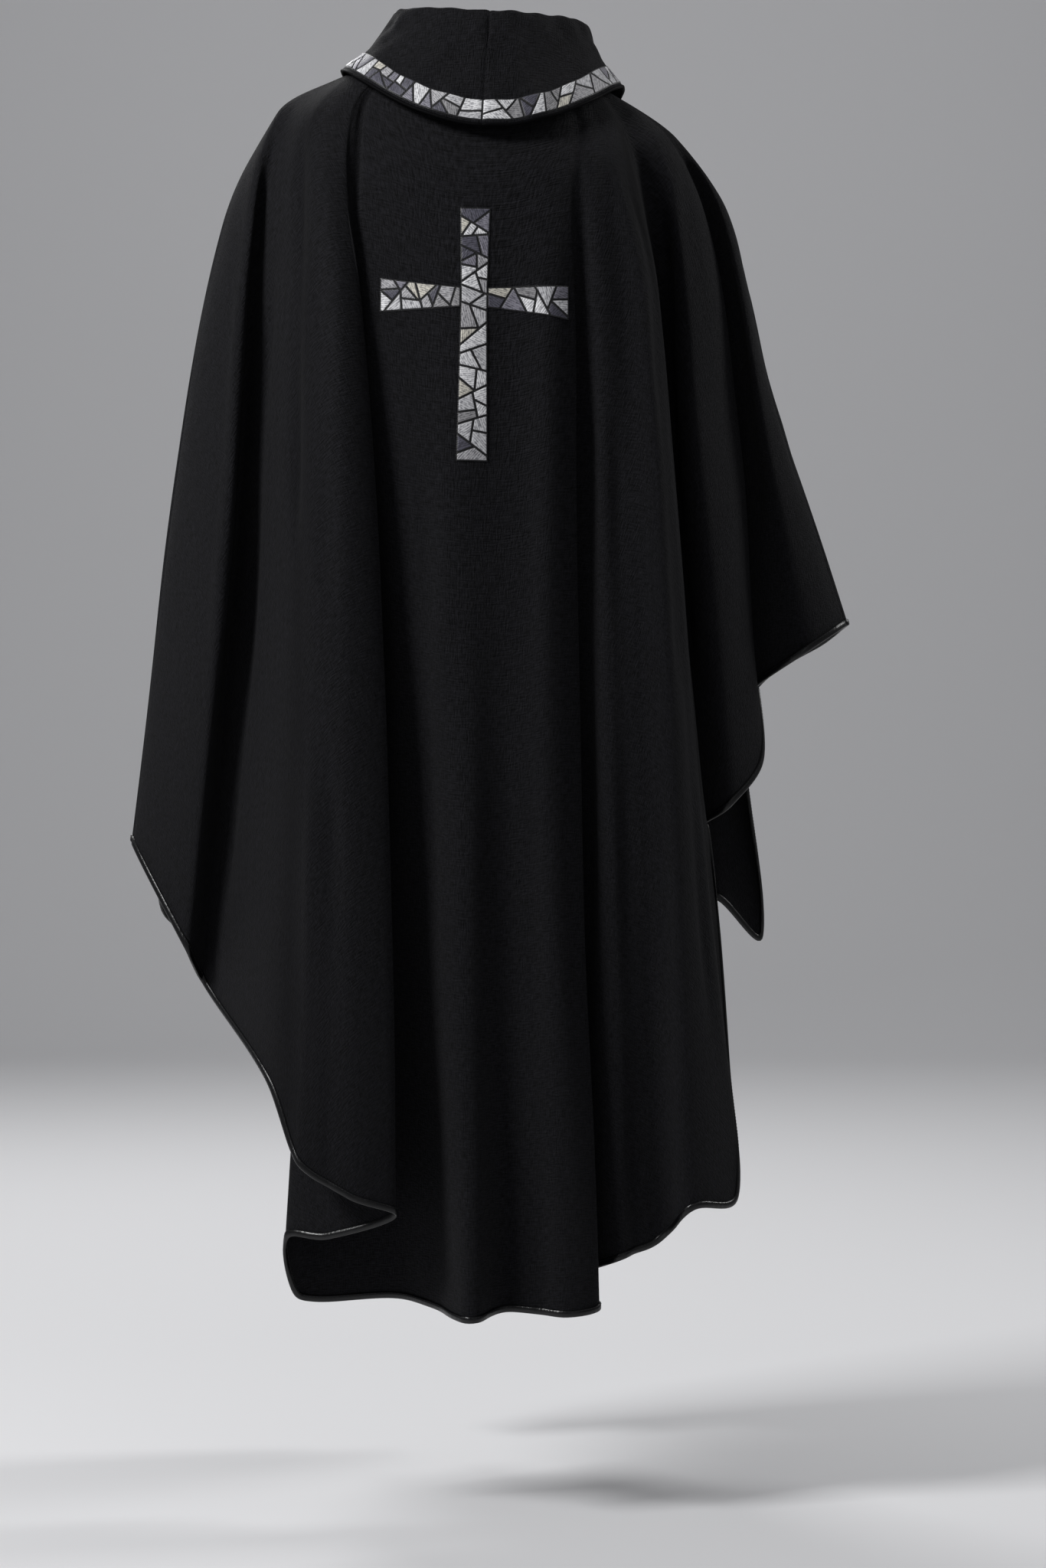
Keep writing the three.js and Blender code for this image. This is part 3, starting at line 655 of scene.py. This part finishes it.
def cut_patches(outline, largest, seed):
    """A convex outline cut again and again, each time slantwise across its longest way."""
    chance = random.Random(seed)
    todo = [np.array(outline, float)]
    done = []
    while todo:
        shape = todo.pop()
        x, y = shape[:, 0], shape[:, 1]
        area = 0.5 * abs(np.dot(x, np.roll(y, -1)) - np.dot(y, np.roll(x, -1)))
        if area < largest * chance.uniform(0.55, 1.25):
            done.append(shape)
            continue
        spread = shape - shape.mean(0)
        _, _, ways = np.linalg.svd(spread)
        slant = math.radians(chance.choice(SLANTS))
        way = ways[0]
        normal = np.array([
            way[0] * math.cos(slant) - way[1] * math.sin(slant),
            way[0] * math.sin(slant) + way[1] * math.cos(slant),
        ])
        reach = spread @ normal
        offset = mix(reach.min(), reach.max(), chance.uniform(0.38, 0.62))
        halves = [[], []]
        for k in range(len(shape)):
            a, b = shape[k], shape[(k + 1) % len(shape)]
            da, db = reach[k] - offset, reach[(k + 1) % len(shape)] - offset
            halves[0 if da >= 0 else 1].append(a)
            if da * db < 0:
                cut = a + (b - a) * da / (da - db)
                halves[0].append(cut)
                halves[1].append(cut)
        parts = [np.array(h) for h in halves if len(h) >= 3]
        if len(parts) == 2:
            todo += parts
        else:
            done.append(shape)
    return done


def patch_facts(points, patches, seed):
    """For each flat point: its patch's shade, its place along the stitches, and its way to an edge."""
    chance = random.Random(seed)
    best = np.full(len(points), -1e9)
    shade = np.zeros((len(points), 3))
    stitch = np.zeros((len(points), 3))
    bag = [code for code, share in SHADES for _ in range(share)]
    for number, shape in enumerate(patches):
        if np.cross(shape[1] - shape[0], shape[2] - shape[1]) < 0:
            shape = shape[::-1]
        side = np.roll(shape, -1, axis=0) - shape
        side /= np.maximum(np.linalg.norm(side, axis=1, keepdims=True), 1e-9)
        inward = np.stack([-side[:, 1], side[:, 0]], -1)
        gap = ((points[:, None, :] - shape[None, :, :]) * inward[None, :, :]).sum(2).min(1)
        take = gap > best
        best[take] = gap[take]
        turn = chance.uniform(0, math.pi)
        shade[take] = np.array(linear(chance.choice(bag))[:3])
        local = points[take] - shape.mean(0)
        stitch[take, 0] = local[:, 0] * math.cos(turn) + local[:, 1] * math.sin(turn) + number * PATCH_APART
        stitch[take, 1] = local[:, 1] * math.cos(turn) - local[:, 0] * math.sin(turn)
    return shade, stitch, best


def relief(edge):
    """How high the thread stands: full inside a patch and low in its outline."""
    return 0.3 + 0.8 * ease(edge, 0.4, 1.6)


def rim_down(rim):
    """Brings the thread down to the cloth at a strip's rim."""
    return ease(rim, -0.3, 1.2)


# Materials.
wool = wool_material()
satin = satin_material("satin", 0.3, 0.42)
edge_satin = satin_material("edge_satin", 0.7, 0.05)
thread = thread_material()
embroidery = embroidery_material()


# The two body panels.
def flat_weave(us, vs, grid, middle_u):
    """Where each point lies on the flat cut, so that the grain runs straight down the middle."""
    fall = arc(grid, 1) + NECK["half"]
    hem = np.linalg.norm(np.diff(grid[:, -1], axis=0), axis=1)
    turned = np.concatenate([[0], np.cumsum(hem / (0.5 * (fall[1:, -1] + fall[:-1, -1])))])
    turned -= np.interp(middle_u, us, turned)
    turned = turned * math.pi / max(turned[-1] - turned[0], 1e-6)
    turned = turned[:, None]
    return np.stack([fall * np.sin(turned), fall * np.cos(turned), np.zeros_like(fall)], -1)


def panel(name, first, last, mesh):
    """One body panel between two seams, as a thin sheet."""
    inset = 0.012
    us = np.linspace(u_of(first) + inset, u_of(last) - inset, mesh["columns"])
    vs = np.linspace(0, 1, mesh["rows"])
    grid, n = dressed(us, vs)
    weave = flat_weave(us, vs, grid, u_of(mesh["middle_fold"]))
    faces = grid_faces(mesh["columns"], mesh["rows"], flip=True)
    piece = make_piece(name, grid.reshape(-1, 3), faces, wool, [("weave", weave.reshape(-1, 3))])
    return piece, grid, n


RIGHT_SEAM = len(BACK_FOLDS) - 1
back, back_grid, back_normals = panel("back_cloth", 0, RIGHT_SEAM, BACK_MESH)
front, front_grid, front_normals = panel("front_cloth", RIGHT_SEAM, COUNT, FRONT_MESH)

hem_pieces = {}
for side, grid, n in (("back", back_grid, back_normals), ("front", front_grid, front_normals)):
    strip, line, out = binding_piece(f"hem_binding_{side}_cloth", grid, n, PANEL_WALL, HEM_BIND, satin)
    sewn = stitch_piece(f"hem_stitches_{side}", line, out, thread)
    hem_pieces[side] = (strip, sewn)


# The collar.
def collar_grid(turns, ps):
    lines = [dict(row) for row in COLLAR_LINES]
    knots = np.arange(len(lines)) / (len(lines) - 1)
    points = np.stack([round_neck(line, turns) for line in lines])
    points[:, :, 0] += np.array([row["shift"] for row in lines])[:, None]
    return through(knots, points, ps).transpose(1, 0, 2)


def outward(grid):
    """The collar's normals, turned to face away from the neck."""
    n = normals(grid)
    on_fall = (60, 50)
    if (n[on_fall] * grid[on_fall])[:2].sum() < 0:
        n = -n
    return n


def collar_half(sign):
    """Half of the collar, from the centre back to the centre front: a grid and its normals."""
    turns = np.concatenate([
        np.linspace(0.12, 4, 24),
        np.linspace(4, 176, 150)[1:],
        np.linspace(176, 179.88, 12)[1:],
    ])
    ps = np.linspace(0, 1, 64)
    grid = collar_grid(sign * turns, ps)
    soft = slump(turns * ROUND / 360, ps * 1.4, 12 + sign) * ease(ps, 0.1, 0.5)[None, :] * 1.3
    seam = 1.1 * np.exp(-((turns / 1.3) ** 2)) + 1.1 * np.exp(-(((180 - turns) / 1.3) ** 2))
    grid = grid + outward(grid) * (soft - seam[:, None])[:, :, None]
    return grid, outward(grid)


def wall_piece(name, grid, n, thick, material, weave):
    """A closed wall round a grid of middle points, its rims joined straight across."""
    outer = grid + n * thick / 2
    inner = grid - n * thick / 2
    sections = np.concatenate([outer, inner[:, ::-1]], axis=1)
    marks = np.concatenate([weave, weave[:, ::-1]], axis=1)
    return tube_piece(name, sections, material, [("weave", marks.reshape(-1, 3))])


def band_piece(name, grid, n, seed):
    """The embroidered band, laid a set way above the collar's edge."""
    height = arc(grid[:, ::-1], 1)
    rows = BAND_MESH["rows"]
    across = np.linspace(BAND_ABOVE, BAND_ABOVE + BAND_WIDTH, rows)
    base = np.stack([along_line(across, height[k], grid[k, ::-1]) for k in range(len(grid))])
    facing = np.stack([along_line(across, height[k], n[k, ::-1]) for k in range(len(grid))])
    middle = measured(base[:, rows // 2])
    total = middle[-1]
    fine = np.linspace(0, total, int(total / BAND_MESH["step"]))
    place = np.stack([along_line(fine, middle, base[:, r]) for r in range(rows)], 1)
    out = np.stack([along_line(fine, middle, facing[:, r]) for r in range(rows)], 1)
    flat = np.stack(np.meshgrid(fine, across - BAND_ABOVE, indexing="ij"), -1)
    outline = [(0, 0), (total, 0), (total, BAND_WIDTH), (0, BAND_WIDTH)]
    patches = cut_patches(outline, LARGEST_PATCH["band"], seed)
    shade, stitch, edge = patch_facts(flat.reshape(-1, 2), patches, seed)
    rim = np.minimum(across - BAND_ABOVE, BAND_ABOVE + BAND_WIDTH - across)
    lift = relief(edge).reshape(len(fine), -1) * rim_down(rim)[None, :]
    points = place + out * (COLLAR_WALL / 2 + lift)[:, :, None]
    return make_piece(name, points.reshape(-1, 3), grid_faces(len(fine), rows), embroidery,
                      [("shade", shade), ("stitch", stitch), ("edge", edge)])


collar_pieces = {}
for side, sign in (("left", 1), ("right", -1)):
    grid, n = collar_half(sign)
    weave = np.stack([arc(grid, 0), arc(grid, 1), np.zeros(grid.shape[:2])], -1)
    body = wall_piece(f"collar_{side}_cloth", grid, n, COLLAR_WALL, wool, weave)
    band = band_piece(f"collar_band_{side}_embroidery", grid, n, BAND_SEEDS[side])
    edge_name = f"collar_binding_{side}_cloth"
    strip, _, _ = binding_piece(edge_name, grid, n, COLLAR_WALL, COLLAR_BIND, edge_satin)
    collar_pieces[side] = (body, band, strip)


# The cross, laid on the back.
def stem_outlines():
    """The stem's three convex parts, from the top down."""
    waist = CROSS_WIDTHS["stem_waist"] / 2
    top = CROSS_WIDTHS["stem_top"] / 2
    foot = CROSS_WIDTHS["stem_foot"] / 2
    upper_left, upper_right = (-waist, UPPER_LINE[0]), (waist, UPPER_LINE[1])
    lower_left, lower_right = (-waist, LOWER_LINE[0]), (waist, LOWER_LINE[1])
    upper = [(-top, CROSS["up"]), upper_left, upper_right, (top, CROSS["up"])]
    middle = [upper_left, lower_left, lower_right, upper_right]
    lower = [lower_left, (-foot, -CROSS["down"]), (foot, -CROSS["down"]), lower_right]
    return upper, middle, lower


def arm_outline(sign):
    """One arm, from the stem out to its wider tip. sign says to which side it goes."""
    near = sign * CROSS_WIDTHS["stem_waist"] / 2
    far = sign * CROSS["arm"]
    waist = CROSS_WIDTHS["arm_waist"] / 2
    tip = CROSS_WIDTHS["arm_tip"] / 2
    drop = far * math.tan(math.radians(CROSS["arm_tilt"]))
    return [(near, waist), (near, -waist), (far, drop - tip), (far, drop + tip)]


def stem_grid(columns):
    """Flat points over the stem, and how far each is from its rim. There is no rim where the arms join."""
    w = CROSS_WIDTHS
    up, down = CROSS["up"], CROSS["down"]
    rows = np.linspace(-down, up, int((up + down) / CROSS_MESH["step"]))
    above = mix(w["stem_waist"], w["stem_top"], rows / up)
    below = mix(w["stem_waist"], w["stem_foot"], -rows / down)
    half = np.where(rows > 0, above, below) / 2
    flat = np.stack([half[:, None] * columns[None, :], np.repeat(rows[:, None], len(columns), 1)], -1)
    ends = np.minimum(rows + down, up - rows)
    sides = half[:, None] * (1 - np.abs(columns))[None, :]
    far_off = 9.0
    sides = np.where((np.abs(rows) < w["arm_waist"] / 2)[:, None], far_off, sides)
    return flat, np.minimum(ends[:, None], sides)


def arm_grid(sign, columns):
    """Flat points over one arm, and how far each is from its rim."""
    w = CROSS_WIDTHS
    waist = w["stem_waist"] / 2
    low, high = sorted((sign * waist, sign * CROSS["arm"]))
    rows = np.linspace(low, high, int((high - low) / CROSS_MESH["step"]))
    part = (np.abs(rows) - waist) / (CROSS["arm"] - waist)
    half = mix(w["arm_waist"], w["arm_tip"], part) / 2
    middle = rows * part * math.tan(math.radians(CROSS["arm_tilt"]))
    heights = middle[:, None] + half[:, None] * columns[None, :]
    flat = np.stack([np.repeat(rows[:, None], len(columns), 1), heights], -1)
    sides = half[:, None] * (1 - np.abs(columns))[None, :]
    return flat, np.minimum((CROSS["arm"] - np.abs(rows))[:, None], sides)


def cross_piece():
    """The cross, its patches laid out flat, then dropped onto the back."""
    patches = []
    for outline, seed in zip(stem_outlines(), STEM_SEEDS):
        patches += cut_patches(outline, LARGEST_PATCH["stem"], seed)
    for sign, seed in ARM_SEEDS.items():
        patches += cut_patches(arm_outline(sign), LARGEST_PATCH["arm"], seed)
    columns = np.linspace(-1, 1, CROSS_MESH["columns"])
    grids = [stem_grid(columns)] + [arm_grid(sign, columns) for sign in ARM_SEEDS]
    faces = []
    start = 0
    for flat, _ in grids:
        faces += grid_faces(len(flat), len(columns), start)
        start += len(flat) * len(columns)
    flat = np.concatenate([flat.reshape(-1, 2) for flat, _ in grids])
    rim = np.concatenate([rim.ravel() for _, rim in grids])
    shade, stitch, edge = patch_facts(flat, patches, CROSS_SHADE_SEED)
    edge = np.minimum(edge, rim)
    lift = relief(edge) * rim_down(rim)
    tilt = math.radians(CROSS["tilt"])
    x = CROSS["x"] + flat[:, 0] * math.cos(tilt) - flat[:, 1] * math.sin(tilt)
    z = CROSS["z"] + flat[:, 0] * math.sin(tilt) + flat[:, 1] * math.cos(tilt)
    back_faces = grid_faces(len(back_grid), back_grid.shape[1])
    back_tree = BVHTree.FromPolygons([Vector(p) for p in back_grid.reshape(-1, 3)], back_faces)
    behind = 600
    clear = 0.5
    points = []
    for k in range(len(flat)):
        hit, _, _, _ = back_tree.ray_cast(Vector((x[k], behind, z[k])), Vector((0, -1, 0)))
        points.append((x[k], hit[1] + clear + lift[k], z[k]))
    return make_piece("back_cross_embroidery", points, faces, embroidery,
                      [("shade", shade), ("stitch", stitch), ("edge", edge)])


cross = cross_piece()


# What each piece is: it goes under its body, and the imported part of the node it stands for is hidden.
def declare(piece, name):
    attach(piece, "root")
    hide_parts(name)


declare(back, "back_panel")
declare(front, "front_panel")
for side in ("back", "front"):
    strip, sewn = hem_pieces[side]
    declare(strip, f"hem_binding_{side}")
    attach(sewn, "root")
for side in ("left", "right"):
    body, band, strip = collar_pieces[side]
    declare(body, f"collar_{side}")
    declare(band, f"collar_band_{side}")
    declare(strip, f"collar_binding_{side}")
declare(cross, "back_cross")

for side in ("left", "right"):
    body, band, strip = collar_pieces[side]


# The camera, the floor and the lights. The camera stands where the photograph's did, and the origin falls
# on one of its pixels.
PIXEL = 0.8 * MM
PHOTO_HIGH = 2048
PHOTO_MIDDLE = (683, 1024)
ORIGIN_PIXEL = (620, 100)
SENSOR = 36
AWAY = 4.2
NEAREST = 0.15

scene = bpy.context.scene
camera_data = bpy.data.cameras.new("camera")
camera_data.lens = SENSOR * (AWAY - NEAREST) / (PHOTO_HIGH * PIXEL)
camera = bpy.data.objects.new("camera", camera_data)
scene.collection.objects.link(camera)
shift_x = (ORIGIN_PIXEL[0] - PHOTO_MIDDLE[0]) * PIXEL
shift_z = (ORIGIN_PIXEL[1] - PHOTO_MIDDLE[1]) * PIXEL
camera.location = (shift_x, AWAY, shift_z)
camera.rotation_euler = (math.radians(90), 0, math.radians(180))
scene.camera = camera

# A floor that curves up into a wall far behind, in metres.
FLOOR = dict(z=-1.5, near=30.0, half_width=20, curve_start=-6.5, curve=3.0, wall_top=14.0)
profile = [(FLOOR["near"], 0.0)]
for a in np.linspace(0, math.pi / 2, 24):
    profile.append((FLOOR["curve_start"] - FLOOR["curve"] * math.sin(a), FLOOR["curve"] * (1 - math.cos(a))))
profile.append((FLOOR["curve_start"] - FLOOR["curve"], FLOOR["wall_top"]))
sweep = [(side * FLOOR["half_width"], y, FLOOR["z"] + z) for y, z in profile for side in (-1, 1)]
floor = make_piece("floor", np.array(sweep) / MM, grid_faces(len(profile), 2), None)
floor_material, _, floor_shader = new_material("floor", 0.85)
floor_shader.inputs["Base Color"].default_value = linear("#DEDEE0")
floor.data.materials.append(floor_material)


LIGHTS = [
    dict(name="key", place=(2.4, 1.55, 1.6), aim=(0.05, 0, -0.5), size=(1.0, 1.0), power=106),
    dict(name="fill", place=(-1.6, 3.9, 0.4), aim=(0, 0, -0.7), size=(1.6, 1.6), power=4),
    dict(name="backdrop", place=(0, -3.5, 3.2), aim=(0, -9.5, 0.0), size=(4.0, 1.0), power=90),
    dict(name="front", place=(1.4, -3.4, 2.3), aim=(0, 0, -0.6), size=(1.6, 1.6), power=85),
    dict(name="rim", place=(-2.8, -1.0, 1.4), aim=(0, 0, -0.5), size=(0.8, 1.4), power=45),
]


def area_light(name, place, aim, size, power):
    data = bpy.data.lights.new(name, "AREA")
    data.shape = "RECTANGLE"
    data.size, data.size_y = size
    data.energy = power
    lamp = bpy.data.objects.new(name, data)
    scene.collection.objects.link(lamp)
    lamp.location = place
    lamp.rotation_euler = (Vector(aim) - Vector(place)).to_track_quat("-Z", "Y").to_euler()


for light in LIGHTS:
    area_light(**light)
world = bpy.data.worlds.new("studio")
scene.world = world
world.use_nodes = True
background = world.node_tree.nodes["Background"]
background.inputs["Color"].default_value = linear("#D2D3D6")
background.inputs["Strength"].default_value = 0.2
scene.view_settings.view_transform = "Standard"
